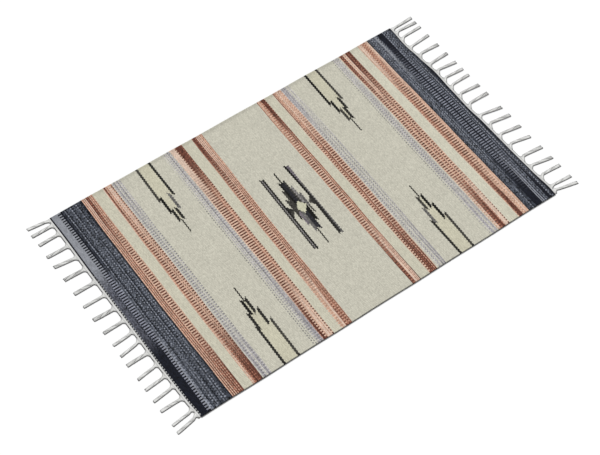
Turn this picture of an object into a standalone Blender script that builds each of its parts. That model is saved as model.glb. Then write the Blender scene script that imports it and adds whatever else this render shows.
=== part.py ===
"""Small flat-woven kilim rug that lies on a floor: one ribbed cloth and a fringe of tassels at each end.

Metres, +Z up. +X runs along the warps, from the left end to the right end, and +Y across the rug.
The origin is the middle of the cloth's underside, on the floor.
"""

from collections import namedtuple
import math

import bmesh
import bpy

# The woven cloth
CLOTH_LENGTH = 0.950
CLOTH_WIDTH = 0.600
CLOTH_THICKNESS = 0.005         # over the crests of the ribs
RIB_COUNT = 168                 # one rib over each bundle of warps
RIB_DEPTH = 0.0006
SELVEDGE_HEIGHT = 0.0034        # where the long edges turn down
END_HEIGHT = 0.0038             # where the last rows of weft stop
END_ROUNDING = 0.004            # length over which the ends turn down
SPAN_COLUMNS = 6                # steps along the cloth between its two rounded ends
SWELL = 0.0003                  # soft rise and fall of the face
SWELL_LENGTH = 0.70             # from one rise to the next along the rug
SWELL_BREADTH = 0.48            # and across it
SELVEDGE_WAVE = 0.0004          # the long edges aren't quite straight
SELVEDGE_WAVE_LENGTH = 0.20

# The fringe
SEAM_GAP = 0.0003               # between the cloth and a header
HEADER_WIDTH = 0.0052
HEADER_HEIGHT = 0.0020
HEADER_STEPS = 84               # steps across the rug
LOCK_HEIGHT = 0.0030
LOCK_TIP_HEIGHT = 0.0024
LOCK_ROOT_HEIGHT = 0.0016
LOCK_TOP_SHARE = 0.62           # width of a lock's top over that of its foot
LOCK_TIP_SHARE = 0.90           # width of its tip over that of its middle
ROOT_FILLET = 0.0068            # radius of the arches between the tassels
ROOT_SPACE = 0.0006             # least half gap between two roots
ROOT_DEPTH = 0.0020             # how far a lock reaches into its header
ROOT_LIFT = 0.0004              # a root's foot inside the header stands off the floor
NECK_PLACE = 0.0100             # where a lock has come together, from the header's outer edge
FILLET_STEPS = 4
LOCK_STEPS = 5

# Set-out of each cloth end from its nominal line, read across the rug
EndRow = namedtuple("EndRow", "across set_out")
LEFT_END = (
    EndRow(0.300, 0.0000),
    EndRow(0.250, -0.0007),
    EndRow(0.100, 0.0004),
    EndRow(-0.050, 0.0004),
    EndRow(-0.150, 0.0013),
    EndRow(-0.250, 0.0004),
    EndRow(-0.300, -0.0024),
)
RIGHT_END = (
    EndRow(0.300, -0.0016),
    EndRow(0.235, -0.0045),
    EndRow(0.190, -0.0012),
    EndRow(0.130, 0.0025),
    EndRow(0.070, 0.0000),
    EndRow(0.000, -0.0018),
    EndRow(-0.050, 0.0004),
    EndRow(-0.150, 0.0004),
    EndRow(-0.220, 0.0014),
    EndRow(-0.280, 0.0042),
    EndRow(-0.300, 0.0033),
)

# One row for each tassel: the places of its root, neck and tip across the rug, its width,
# and its reach from the cloth's nominal end
Tassel = namedtuple("Tassel", "root neck tip width reach")
LEFT_TASSELS = (
    Tassel(0.2962, 0.2990, 0.3035, 0.0056, 0.0563),
    Tassel(0.2815, 0.2815, 0.2816, 0.0064, 0.0570),
    Tassel(0.2541, 0.2530, 0.2525, 0.0060, 0.0559),
    Tassel(0.2148, 0.2150, 0.2160, 0.0066, 0.0574),
    Tassel(0.1781, 0.1800, 0.1852, 0.0066, 0.0579),
    Tassel(0.1422, 0.1425, 0.1441, 0.0075, 0.0570),
    Tassel(0.1019, 0.1010, 0.1014, 0.0071, 0.0574),
    Tassel(0.0610, 0.0612, 0.0619, 0.0052, 0.0579),
    Tassel(0.0207, 0.0210, 0.0226, 0.0078, 0.0574),
    Tassel(-0.0161, -0.0170, -0.0176, 0.0062, 0.0570),
    Tassel(-0.0499, -0.0515, -0.0543, 0.0050, 0.0559),
    Tassel(-0.0767, -0.0800, -0.0859, 0.0046, 0.0568),
    Tassel(-0.1119, -0.1120, -0.1123, 0.0066, 0.0581),
    Tassel(-0.1460, -0.1485, -0.1532, 0.0048, 0.0570),
    Tassel(-0.1785, -0.1800, -0.1830, 0.0052, 0.0574),
    Tassel(-0.2080, -0.2105, -0.2152, 0.0050, 0.0579),
    Tassel(-0.2425, -0.2425, -0.2425, 0.0056, 0.0581),
    Tassel(-0.2760, -0.2790, -0.2834, 0.0044, 0.0559),
    Tassel(-0.2908, -0.2955, -0.3032, 0.0052, 0.0570),
)
RIGHT_TASSELS = (
    Tassel(0.2961, 0.2970, 0.2986, 0.0056, 0.0623),
    Tassel(0.2814, 0.2838, 0.2812, 0.0056, 0.0623),
    Tassel(0.2566, 0.2615, 0.2635, 0.0050, 0.0623),
    Tassel(0.2251, 0.2270, 0.2312, 0.0052, 0.0619),
    Tassel(0.1915, 0.1962, 0.1948, 0.0062, 0.0627),
    Tassel(0.1576, 0.1585, 0.1608, 0.0060, 0.0634),
    Tassel(0.1282, 0.1330, 0.1275, 0.0060, 0.0634),
    Tassel(0.0997, 0.1050, 0.1019, 0.0052, 0.0634),
    Tassel(0.0731, 0.0784, 0.0797, 0.0052, 0.0634),
    Tassel(0.0400, 0.0465, 0.0420, 0.0062, 0.0639),
    Tassel(0.0046, 0.0115, 0.0112, 0.0064, 0.0645),
    Tassel(-0.0313, -0.0300, -0.0400, 0.0060, 0.0645),
    Tassel(-0.0690, -0.0612, -0.0692, 0.0068, 0.0656),
    Tassel(-0.1037, -0.0990, -0.1072, 0.0062, 0.0645),
    Tassel(-0.1404, -0.1345, -0.1440, 0.0060, 0.0634),
    Tassel(-0.1830, -0.1775, -0.1822, 0.0068, 0.0656),
    Tassel(-0.2105, -0.2090, -0.2182, 0.0060, 0.0656),
    Tassel(-0.2479, -0.2425, -0.2452, 0.0060, 0.0656),
    Tassel(-0.2801, -0.2780, -0.2822, 0.0054, 0.0656),
    Tassel(-0.2907, -0.2935, -0.3043, 0.0054, 0.0660),
)


def clear_scene():
    for found in list(bpy.data.objects):
        bpy.data.objects.remove(found, do_unlink=True)


def ease(share):
    """Smooth rise from 0 to 1."""
    share = min(max(share, 0.0), 1.0)
    return share * share * (3.0 - 2.0 * share)


def set_out(end_rows, across):
    """How far a cloth end stands out from its nominal line at a place across the rug."""
    for far, near in zip(end_rows, end_rows[1:]):
        if across >= near.across:
            share = (far.across - across) / (far.across - near.across)
            return far.set_out + (near.set_out - far.set_out) * ease(share)
    return end_rows[-1].set_out


def end_line(side, end_rows, across):
    """The cloth's end at one side, -1 for the left end and +1 for the right."""
    return side * (CLOTH_LENGTH / 2 + set_out(end_rows, across))


def fabric(name, colour, roughness):
    material = bpy.data.materials.new(name)
    material.use_nodes = True
    shader = material.node_tree.nodes["Principled BSDF"]
    shader.inputs["Base Color"].default_value = (*colour, 1.0)
    shader.inputs["Roughness"].default_value = roughness
    shader.inputs["Metallic"].default_value = 0.0
    return material


def sheet_mesh(name, columns, rows, place):
    """A flat grid pulled up into a closed mesh; place(column, row, on_top) gives each point."""
    bm = bmesh.new()
    bmesh.ops.create_grid(bm, x_segments=columns, y_segments=rows, size=0.5)
    foot = bm.faces[:]
    pulled = bmesh.ops.extrude_face_region(bm, geom=foot)["geom"]
    tops = {item for item in pulled if isinstance(item, bmesh.types.BMVert)}
    for point in bm.verts:
        column = round((point.co.x + 0.5) * columns)
        row = round((point.co.y + 0.5) * rows)
        point.co = place(column, row, point in tops)
    bmesh.ops.dissolve_faces(bm, faces=[face for face in foot if face.is_valid])
    bmesh.ops.recalc_face_normals(bm, faces=bm.faces[:])
    mesh = bpy.data.meshes.new(name)
    bm.to_mesh(mesh)
    bm.free()
    return mesh


def cloth_stations():
    """Places along the cloth from 0 to 1: two rounded ends and even steps between them."""
    rounding = END_ROUNDING / CLOTH_LENGTH
    span = [rounding + (1.0 - 2.0 * rounding) * step / SPAN_COLUMNS for step in range(SPAN_COLUMNS + 1)]
    return [0.0, *span, 1.0]


def make_woven_body():
    """The cloth: flat underneath, ribbed on top, its edges turned down."""
    stations = cloth_stations()
    last_column = len(stations) - 1
    last_row = RIB_COUNT * 2

    def place(column, row, on_top):
        across = CLOTH_WIDTH * (row / last_row - 0.5)
        left = end_line(-1, LEFT_END, across)
        right = end_line(1, RIGHT_END, across)
        along = left + (right - left) * stations[column]
        edge_share = across / (CLOTH_WIDTH / 2)
        wave = math.sin(math.tau * along / SELVEDGE_WAVE_LENGTH + edge_share)
        swell = SWELL * math.sin(math.tau * along / SWELL_LENGTH)
        swell *= math.sin(math.tau * across / SWELL_BREADTH)
        across += SELVEDGE_WAVE * edge_share * wave
        if not on_top:
            return along, across, 0.0
        if row in (0, last_row):
            return along, across, SELVEDGE_HEIGHT
        if column in (0, last_column):
            return along, across, END_HEIGHT
        groove = RIB_DEPTH if row % 2 == 0 else 0.0
        return along, across, CLOTH_THICKNESS - SWELL - groove + swell

    mesh = sheet_mesh("woven_body", last_column, last_row, place)
    mesh.materials.append(fabric("wool_cream", (0.60, 0.58, 0.49), 0.95))
    return bpy.data.objects.new("woven_body", mesh)


def header_edge(side, end_rows, across):
    """Distance of the header's outer edge from the middle of the rug."""
    return abs(end_line(side, end_rows, across)) + SEAM_GAP + HEADER_WIDTH


def make_header(name, side, end_rows):
    """The narrow white strip between the cloth's end and the tassels."""
    def place(column, row, on_top):
        across = CLOTH_WIDTH * (row / HEADER_STEPS - 0.5)
        inner = end_line(side, end_rows, across) + side * SEAM_GAP
        along = inner + side * HEADER_WIDTH * column
        return along, across, HEADER_HEIGHT if on_top else 0.0

    mesh = sheet_mesh(name, 1, HEADER_STEPS, place)
    mesh.materials.append(fabric("cotton_white_" + name, (0.80, 0.78, 0.72), 0.92))
    return bpy.data.objects.new(name, mesh)


def root_fillets(tassels, number):
    """Radius of the arch on the far and the near side of a tassel's root."""
    here = tassels[number]
    radii = []
    for neighbour in (number - 1, number + 1):
        if 0 <= neighbour < len(tassels):
            there = tassels[neighbour]
            free = (abs(here.root - there.root) - (here.width + there.width) / 2) / 2
        else:
            free = CLOTH_WIDTH / 2 - abs(here.root) - here.width / 2
        radii.append(min(ROOT_FILLET, max(free - ROOT_SPACE, 0.0)))
    return radii


def make_lock(side, end_rows, tassels, number):
    """One tassel: four sides, a flat foot on the floor and a root that fans out into the header."""
    tassel = tassels[number]
    far_fillet, near_fillet = root_fillets(tassels, number)
    root_edge = header_edge(side, end_rows, tassel.root)
    length = CLOTH_LENGTH / 2 + tassel.reach - root_edge
    turns = [math.pi / 2 * step / FILLET_STEPS for step in range(FILLET_STEPS + 1)]
    fan = [ROOT_FILLET * (1.0 - math.cos(turn)) for turn in turns]
    free = [fan[-1] + (length - fan[-1]) * step / LOCK_STEPS for step in range(1, LOCK_STEPS + 1)]
    places = [-ROOT_DEPTH, *fan, *free]

    def arch(radius, out):
        """Extra half width at a distance out from the header, along a quarter circle."""
        if radius <= 0.0 or out >= radius:
            return 0.0
        rest = radius - max(out, 0.0)
        return radius - math.sqrt(radius * radius - rest * rest)

    def place(column, row, on_top):
        out = places[column]
        line = tassel.neck + (tassel.tip - tassel.neck) * (out - NECK_PLACE) / (length - NECK_PLACE)
        gathered = ease(out / NECK_PLACE)
        middle = tassel.root + (line - tassel.root) * gathered
        half = tassel.width / 2
        if column == len(places) - 1:
            half *= LOCK_TIP_SHARE
        far_half = half + arch(far_fillet, out)
        near_half = half + arch(near_fillet, out)
        share = LOCK_TOP_SHARE if on_top else 1.0
        across = middle + share * (far_half if row else -near_half)
        local_edge = header_edge(side, end_rows, across)
        along = side * (local_edge + (root_edge - local_edge) * gathered + out)
        if not on_top:
            return along, across, ROOT_LIFT if out <= 0.0 else 0.0
        height = LOCK_ROOT_HEIGHT + (LOCK_HEIGHT - LOCK_ROOT_HEIGHT) * gathered
        flattened = ease(out / length) * gathered
        return along, across, height + (LOCK_TIP_HEIGHT - LOCK_HEIGHT) * flattened

    return sheet_mesh("lock", len(places) - 1, 1, place)


def make_fringe(name, side, end_rows, tassels, collection, cutters):
    """A header strip with its tassels, united into one solid."""
    header = make_header(name, side, end_rows)
    locks = bmesh.new()
    for number in range(len(tassels)):
        lock = make_lock(side, end_rows, tassels, number)
        locks.from_mesh(lock)
        bpy.data.meshes.remove(lock)
    mesh = bpy.data.meshes.new(name + "_locks")
    locks.to_mesh(mesh)
    locks.free()
    cutter = bpy.data.objects.new(name + "_locks", mesh)
    cutter.hide_render = True
    cutter.display_type = "WIRE"
    cutters.objects.link(cutter)
    union = header.modifiers.new("locks", "BOOLEAN")
    union.operation = "UNION"
    union.solver = "EXACT"
    union.object = cutter
    collection.objects.link(header)


clear_scene()
rug = bpy.data.collections.new("kilim_rug")
bpy.context.scene.collection.children.link(rug)
joined = bpy.data.collections.new("cutters")
bpy.context.scene.collection.children.link(joined)

rug.objects.link(make_woven_body())
make_fringe("fringe_left", -1, LEFT_END, LEFT_TASSELS, rug, joined)
make_fringe("fringe_right", 1, RIGHT_END, RIGHT_TASSELS, rug, joined)
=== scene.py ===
import math
import random

import bpy
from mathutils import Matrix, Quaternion, Vector


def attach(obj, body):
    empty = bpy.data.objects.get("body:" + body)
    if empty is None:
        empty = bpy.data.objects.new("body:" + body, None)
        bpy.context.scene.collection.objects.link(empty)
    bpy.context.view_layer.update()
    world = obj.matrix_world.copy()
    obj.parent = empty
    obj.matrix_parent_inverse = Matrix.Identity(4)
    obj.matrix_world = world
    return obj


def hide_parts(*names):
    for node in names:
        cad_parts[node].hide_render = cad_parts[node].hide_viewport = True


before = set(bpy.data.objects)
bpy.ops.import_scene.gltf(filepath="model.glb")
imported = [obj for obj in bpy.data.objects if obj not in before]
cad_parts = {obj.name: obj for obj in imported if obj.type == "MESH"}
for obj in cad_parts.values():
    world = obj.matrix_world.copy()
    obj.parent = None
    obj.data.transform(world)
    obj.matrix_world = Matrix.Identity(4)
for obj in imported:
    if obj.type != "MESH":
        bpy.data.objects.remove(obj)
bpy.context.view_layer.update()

# The room: the rug lies on a smooth white studio floor and is seen from above one long side.
# Soft daylight falls from the far side, and white walls send back an even light from all round.
FLOOR_REACH = 9.0
FLOOR_DROP = 0.0002              # just clear of the back of the cloth
floor_mesh = bpy.data.meshes.new("floor")
floor_corners = []
for x, y in ((-1, -1), (1, -1), (1, 1), (-1, 1)):
    floor_corners.append((FLOOR_REACH * x, FLOOR_REACH * y, 0.0))
floor_mesh.from_pydata(floor_corners, [], [(0, 1, 2, 3)])
floor = bpy.data.objects.new("floor", floor_mesh)
floor.location.z = -FLOOR_DROP
bpy.context.scene.collection.objects.link(floor)

floor_paint = bpy.data.materials.new("floor_paint")
floor_paint.use_nodes = True
floor_shader = floor_paint.node_tree.nodes["Principled BSDF"]
floor_shader.inputs["Base Color"].default_value = (0.93, 0.93, 0.93, 1.0)
floor_shader.inputs["Roughness"].default_value = 0.9
floor_shader.inputs["Specular IOR Level"].default_value = 0.1
floor_mesh.materials.append(floor_paint)

CAMERA_ROLL = 0.00146            # radians
camera = bpy.data.objects.new("camera", bpy.data.cameras.new("camera"))
camera.data.sensor_fit = "HORIZONTAL"
camera.data.sensor_width = 36.0
camera.data.lens = 92.552
camera.data.clip_start = 0.05
camera.data.clip_end = 60.0
camera.location = (-1.13644, -1.56939, 2.83422)
looks_at = Vector((-0.03774, -0.04011, 0.0))
level = (looks_at - camera.location).to_track_quat("-Z", "Y")
camera.rotation_euler = (level @ Quaternion((0.0, 0.0, 1.0), CAMERA_ROLL)).to_euler()
bpy.context.scene.collection.objects.link(camera)
bpy.context.scene.camera = camera

walls = bpy.data.worlds.new("white_walls")
walls.use_nodes = True
walls.node_tree.nodes["Background"].inputs["Color"].default_value = (1.0, 1.0, 1.0, 1.0)
walls.node_tree.nodes["Background"].inputs["Strength"].default_value = 0.40
bpy.context.scene.world = walls

daylight = bpy.data.objects.new("daylight", bpy.data.lights.new("daylight", "SUN"))
daylight.data.energy = 2.56
daylight.data.angle = math.radians(13)
daylight.rotation_euler = Vector((0.25, -0.85, -1.65)).to_track_quat("-Z", "Y").to_euler()
bpy.context.scene.collection.objects.link(daylight)

bpy.context.scene.view_settings.view_transform = "Standard"
bpy.context.scene.view_settings.look = "None"


# The cloth: a weft-faced kilim, thick wool wefts packed down over 168 bundles of cotton warp, so
# each bundle shows as a rib along the rug. Bands are passes of dyed weft; two colours thrown in
# turn make a comb, one colour on every other rib. Bands wander a little from side to side.
CLOTH_LENGTH = 0.950
CLOTH_WIDTH = 0.600
CLOTH_THICKNESS = 0.005
MILLIMETRES = 1000.0             # in a metre
RIB_COUNT = 168
GROOVE_DEPTH = 0.0006            # of the groove between two ribs, below the cloth's full height
CREST_DEPTH = 0.00006            # of a rib's crest, in the same way
RIB_RISE = (-0.00012, 0.00010)   # how much one rib is lower or higher than the next
RIB_RISE_TURN = 9.0              # radians for each metre along a rib
RIB_RISE_STAGGER = 2.1           # radians from one rib to the next
SWELL = 0.0003
SWELL_LENGTH = 0.70
SWELL_BREADTH = 0.48
SELVEDGE_WAVE = 0.0004
SELVEDGE_WAVE_LENGTH = 0.20

# How far each cloth end stands out from its straight line, read across the rug from the far side
LEFT_END = ((0.300, 0.0000), (0.250, -0.0007), (0.100, 0.0004), (-0.050, 0.0004),
            (-0.150, 0.0013), (-0.250, 0.0004), (-0.300, -0.0024))
RIGHT_END = ((0.300, -0.0016), (0.235, -0.0045), (0.190, -0.0012), (0.130, 0.0025),
             (0.070, 0.0000), (0.000, -0.0018), (-0.050, 0.0004), (-0.150, 0.0004),
             (-0.220, 0.0014), (-0.280, 0.0042), (-0.300, 0.0033))


def ease(share):
    """A smooth rise from 0 to 1."""
    share = min(max(share, 0.0), 1.0)
    return share * share * (3.0 - 2.0 * share)


def end_line(side, end_rows, across):
    """The cloth's end at one side, -1 for the left end and +1 for the right."""
    out = end_rows[-1][1]
    for (far, far_out), (near, near_out) in zip(end_rows, end_rows[1:]):
        if across >= near:
            out = far_out + (near_out - far_out) * ease((far - across) / (far - near))
            break
    return side * (CLOTH_LENGTH / 2 + out)


STUDIO_LIGHT = 1.12              # how bright a perfectly white cloth would look on this floor


def dyed(red, green, blue):
    """The reflectance of a yarn that looks like this, from 0 to 255, in the studio's light."""
    reflectance = []
    for channel in (red, green, blue):
        shown = channel / 255
        light = ((shown + 0.055) / 1.055) ** 2.4 if channel > 10 else shown / 12.92
        reflectance.append(min(light / STUDIO_LIGHT, 1.0))
    return reflectance


# One letter for each yarn: its colour, and how much it changes from stitch to stitch
YARNS = {
    "c": (dyed(210, 207, 191), 0.11),   # cream
    "g": (dyed(213, 209, 189), 0.10),   # cream between the terracotta bands
    "G": (dyed(219, 215, 196), 0.10),   # the whitest cream
    "p": (dyed(223, 189, 166), 0.22),   # pale salmon
    "q": (dyed(230, 203, 184), 0.16),   # palest salmon, in plain stretches
    "s": (dyed(205, 161, 138), 0.28),   # salmon
    "r": (dyed(163, 111, 91), 0.40),    # rust
    "b": (dyed(108, 65, 52), 0.45),     # brown red
    "v": (dyed(172, 168, 172), 0.26),   # lavender grey
    "u": (dyed(203, 199, 194), 0.20),   # pale lavender grey
    "o": (dyed(140, 138, 138), 0.30),   # grey
    "L": (dyed(145, 148, 161), 0.25),   # pale slate of the combs
    "M": (dyed(134, 138, 150), 0.35),   # slate of the right end's combs
    "l": (dyed(152, 155, 162), 0.17),   # light slate
    "m": (dyed(89, 91, 101), 0.60),     # middling slate
    "i": (dyed(134, 138, 148), 0.55),   # mottled slate of the denim
    "d": (dyed(87, 91, 100), 0.80),     # denim
    "D": (dyed(54, 58, 67), 0.85),      # dark denim
    "k": (dyed(20, 23, 34), 0.50),      # navy black
    "K": (dyed(17, 19, 28), 0.40),      # black of the combs
    "w": (dyed(176, 177, 176), 0.10),   # white warp that shows through
}

# The stripes from the left end to the right one. A row says where its stripe starts, in millimetres
# from the middle, at the far side, in the middle and at the near side; how many passes of weft it
# has; and the passes that it repeats at each of the three places. A pass names its yarns over one
# rib and over the next: two of a kind make a line, two unlike a comb.
BANDS = (
    (-475.0, -476.5, -478.0, 1, "kk", "kw", "kw"),
    (-473.5, -472.5, -475.5, 1, "ll", "mm", "kk"),
    (-461.5, -461.0, -460.5, 1, "ll", "mD", "kk"),
    (-456.5, -457.0, -457.0, 1, "Kl", "KL", "kk"),
    (-452.0, -452.0, -454.0, 1, "Kl", "KL", "KL"),
    (-448.5, -448.0, -450.0, 1, "kk", "KL", "Kl"),
    (-444.5, -445.0, -446.5, 2, "DD KD", "di Dd", "ii id"),
    # denim, its passes in four shades
    (-439.5, -439.5, -440.0, 14, "id DK dD Dd dD", "id DK dD Di dd Dd iD DD di DK dD iD Dd id",
     "DD Dd id dD di Dd DK dD Dd di DD id dD"),
    (-400.0, -400.5, -400.0, 1, "kD", "DD", "DD"),
    (-396.5, -398.5, -396.5, 1, "kk", "kk", "kk"),
    # first terracotta band
    (-393.5, -396.5, -394.0, 1, "ps", "ps", "sp"),
    (-391.0, -393.5, -391.5, 4, "rr qq", "rb sp", "bb ps"),
    (-383.5, -385.5, -383.0, 3, "bb br", "rb ps bp", "br sr bb"),
    (-376.0, -378.0, -376.0, 4, "sp rr", "bp", "rs bb"),
    (-368.5, -368.5, -367.5, 1, "ps", "ps", "bb"),
    (-366.5, -366.5, -366.0, 1, "gg", "gg", "gg"),
    # second terracotta band, and the lavender beside it
    (-339.0, -343.0, -344.0, 2, "qq rr", "sp rs", "sp qq"),
    (-336.0, -338.0, -340.0, 3, "bb ps rs", "bp", "rs rb bb"),
    (-328.5, -329.5, -331.0, 4, "qq qs", "ps bp", "rb bb"),
    (-320.0, -320.5, -323.0, 1, "bs", "bp", "bb"),
    (-317.0, -317.5, -319.5, 8, "uc vu vo", "cu vc oc vu oc", "cu vv ov vu"),
    (-295.0, -296.5, -297.5, 1, "cc", "cc", "cc"),
    # lavender, and the third terracotta band
    (-181.0, -184.5, -187.5, 2, "cu cc", "co cc", "co cc"),
    (-176.5, -179.5, -182.5, 4, "vu uc", "vu uc", "oc cc vu"),
    (-168.5, -171.0, -172.5, 3, "vo uv vc", "vo uv cv", "vv ov"),
    (-161.0, -161.0, -163.5, 1, "cp", "qp", "rs"),
    (-159.5, -158.5, -162.0, 2, "qq", "bp", "bb bp"),
    (-148.0, -148.0, -152.5, 2, "bp bb", "bp", "ps qq"),
    (-142.0, -142.5, -147.5, 3, "bb", "rs sp", "qq ps"),
    (-131.5, -136.0, -139.5, 1, "br", "bp", "bp"),
    (-127.5, -132.5, -136.0, 1, "gg", "gg", "gg"),
    # fourth terracotta band
    (-100.5, -109.5, -117.0, 2, "rr bb", "ps rs", "cp ps"),
    (-96.5, -105.5, -112.0, 2, "bb rb", "bp", "ps qq"),
    (-89.5, -94.5, -104.5, 6, "qq rs", "ps rb", "rr bs rs"),
    (-77.5, -83.5, -90.5, 2, "ps rs", "ps cp", "bb ps"),
    (-73.0, -81.0, -88.0, 1, "cc", "cc", "cc"),
    # fifth terracotta band
    (80.5, 76.0, 73.0, 2, "rr ps", "sp rs", "bb rb"),
    (84.0, 79.0, 77.0, 2, "sp rs", "bp", "rb qq"),
    (91.5, 90.0, 86.0, 4, "bb", "sp rb", "rs qq"),
    (100.5, 97.5, 93.0, 1, "bp", "rs", "bb"),
    (102.0, 98.5, 95.0, 1, "gg", "gg", "gg"),
    # sixth terracotta band, and the lavender beside it
    (124.5, 121.5, 119.5, 1, "qq", "sp", "ps"),
    (125.5, 123.0, 120.5, 2, "bb ps", "bp", "bp"),
    (129.0, 127.5, 125.0, 4, "rs ps ps qq", "rs sr bb sp", "bb rb"),
    (138.0, 135.0, 133.0, 3, "sp qs", "bp bs", "bb rs"),
    (146.5, 145.5, 140.0, 1, "sq", "sp", "ps"),
    (148.0, 147.0, 141.5, 5, "vu vv uv ov", "uc vc ou cv", "cc cu vc uv"),
    (161.5, 160.5, 156.0, 5, "cu cc vu", "co vu cc", "vv ov uc"),
    (174.0, 171.5, 165.5, 1, "cc", "cc", "cc"),
    # lavender, and the seventh terracotta band
    (297.0, 293.5, 291.0, 2, "co cc", "co cc", "cv cc"),
    (301.0, 298.5, 295.5, 6, "uv uu vc", "vu oc uv", "uv vv vu cc"),
    (316.0, 314.0, 310.5, 1, "cc", "cc", "cu"),
    (318.5, 316.5, 312.0, 2, "ps bb", "cp rp", "cp sq"),
    (322.0, 320.0, 316.0, 2, "br rb", "bp", "pq rb"),
    (328.5, 327.5, 323.5, 3, "qq ps", "sp rp bp", "rb bb bb"),
    (336.5, 335.0, 331.5, 2, "bb", "bs ps", "rs qq"),
    (341.5, 340.0, 336.5, 2, "br bb", "bp", "qq"),
    (347.5, 346.0, 342.0, 1, "rb", "sp", "bq"),
    (350.0, 348.0, 345.0, 1, "GG", "GG", "GG"),
    # eighth terracotta band
    (374.0, 372.5, 371.5, 2, "ps sp", "sp bp", "ps br"),
    (376.5, 376.0, 376.0, 2, "qq qs", "rs bs", "bb"),
    (385.5, 383.0, 384.5, 2, "rs sr", "bp", "ps sp"),
    (394.5, 394.0, 393.0, 3, "ps sq qq", "sp ps", "qq sp ps"),
    # denim with two dark combs
    (402.0, 401.5, 401.0, 3, "DD dd dD", "DD dD Dd", "DD dD Dd"),
    (409.0, 408.5, 408.5, 4, "dd Di dd id", "dd id Dd di", "dD Dd id DD"),
    (419.0, 418.0, 417.5, 2, "dd id", "DD id", "DD"),
    (423.5, 423.0, 422.5, 2, "ll ld", "Dd DD", "kk"),
    (430.5, 429.5, 429.0, 1, "Dd", "KM", "kk"),
    (433.0, 433.5, 433.5, 1, "kk", "KM", "kk"),
    (442.0, 441.5, 440.0, 2, "kk", "kD", "ll dD"),
    (447.0, 445.5, 444.5, 3, "di Dd iD", "KM", "Ll DD id"),
    (455.0, 456.0, 452.5, 2, "dD Di", "DD dM", "Dd dd"),
    (460.0, 460.5, 458.0, 2, "dD Dd", "DD lm", "kk"),
    (466.0, 466.5, 466.0, 2, "dD DD", "DD kD", "Di dD"),
    (471.0, 472.0, 473.0, 1, "kk", "kk", "kk"),
)
LONGEST_FACE = 60.0              # millimetres of plain cream between two cross lines of the mesh

# How far from the middle the middle's passes give way to those of the sides, in millimetres, and
# over how much of the half width: sooner and quicker in the slate and its comb at the left end
SIDE_CHANGE, SIDE_CHANGE_SHARE = 80, 0.65
SLATE_CHANGE, SLATE_CHANGE_SHARE = 50, 0.30
SLATE_STOP = -440.0              # where the slate ends, in millimetres along the rug


def along_side(far, middle, near, across):
    """A value on the smooth curve through its far, middle and near places."""
    share = across / (CLOTH_WIDTH / 2)
    return middle + (far - near) / 2 * share + ((far + near) / 2 - middle) * share * share


def yarn_at(far, middle, near, across, along):
    """Colour and unevenness of one weft at a place across the rug, between its three yarns."""
    (one, first), (other, second) = YARNS[middle], YARNS[far if across > 0 else near]
    change, change_share = SIDE_CHANGE, SIDE_CHANGE_SHARE
    if along <= SLATE_STOP:
        change, change_share = SLATE_CHANGE, SLATE_CHANGE_SHARE
    half_width = CLOTH_WIDTH / 2 * MILLIMETRES
    mix = ease((abs(across) * MILLIMETRES - change) / (change_share * half_width))
    colour = [a + (b - a) * mix for a, b in zip(one, other)]
    return (*colour, first + (second - first) * mix)


# Cross lines of the mesh: one where each pass starts, and plain ones between them in a wide stripe.
# Each has a far, a middle and a near place, and a pass that follows it.
cross_lines, passes = [], []
cloth_end = CLOTH_LENGTH / 2 * MILLIMETRES
for row, next_row in zip(BANDS, (*BANDS[1:], (cloth_end, cloth_end, cloth_end))):
    start, stop = row[:3], next_row[:3]
    repeats = [repeat.split() for repeat in row[4:]]
    steps = max(row[3], math.ceil(max(b - a for a, b in zip(start, stop)) / LONGEST_FACE))
    for step in range(steps):
        cross_lines.append([a + (b - a) * step / steps for a, b in zip(start, stop)])
        passes.append([repeat[step % len(repeat)] for repeat in repeats])

# The weft rounds over the last warps of each long edge and turns back: a cord-like selvedge. A row
# has a distance in from the edge, less than nothing outside it, a height, and a place in the rib.
SELVEDGE = (
    (0.0001, 0.0003, 0.10), (-0.0009, 0.0010, 0.20), (-0.0012, 0.0020, 0.30),
    (-0.0010, 0.0032, 0.40), (-0.0003, 0.0041, 0.50), (0.0014, 0.0047, 0.70),
)

# Lengthways lines of the mesh, each with its place counted in ribs from the near edge, its distance
# across from the middle, and its height where it belongs to a selvedge
rows = []
for inset, height, place in SELVEDGE:
    rows.append((place, -CLOTH_WIDTH / 2 + inset, height))
for half_rib in range(2, 2 * RIB_COUNT - 1):
    place = half_rib / 2
    rows.append((place, (place / RIB_COUNT - 0.5) * CLOTH_WIDTH, None))
for inset, height, place in reversed(SELVEDGE):
    rows.append((RIB_COUNT - place, CLOTH_WIDTH / 2 - inset, height))

# The last passes of weft round down to the header: distance in from the end, and height
END_CURVE = ((0.0003, 0.0008), (0.0, 0.0022), (0.0006, 0.0034), (0.0016, 0.0042))

hand = random.Random(84)
rib_rise = [hand.uniform(*RIB_RISE) for _ in range(RIB_COUNT + 1)]

# A pass wanders in two waves: a height, a length across, how it shifts along the rug, and its start
WANDERS = ((0.00035, 0.047, 17.0, 0.0), (0.00022, 0.0185, -29.0, 1.0))
WANDER_STOP, WANDER_FADE = 0.470, 0.02       # it dies away before the ends of the cloth
END_ROOM = 0.0026                # from a cloth end to the nearest cross line
LEAST_PASS = 0.0002              # between two cross lines


def weft_line(line, across):
    """Where a cross line lies along the rug, in metres: its own curve, and the pass's wander."""
    along = along_side(*line, across) / MILLIMETRES
    wander = 0.0
    for size, length, shift, start in WANDERS:
        wander += size * math.sin(across / length + along * shift + start)
    return along + wander * ease((WANDER_STOP - abs(along)) / WANDER_FADE)


def on_crest(rib_place):
    """Whether a place that is counted in ribs lies on a crest, and not in a groove."""
    return 0.2 < rib_place % 1.0 < 0.8


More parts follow.
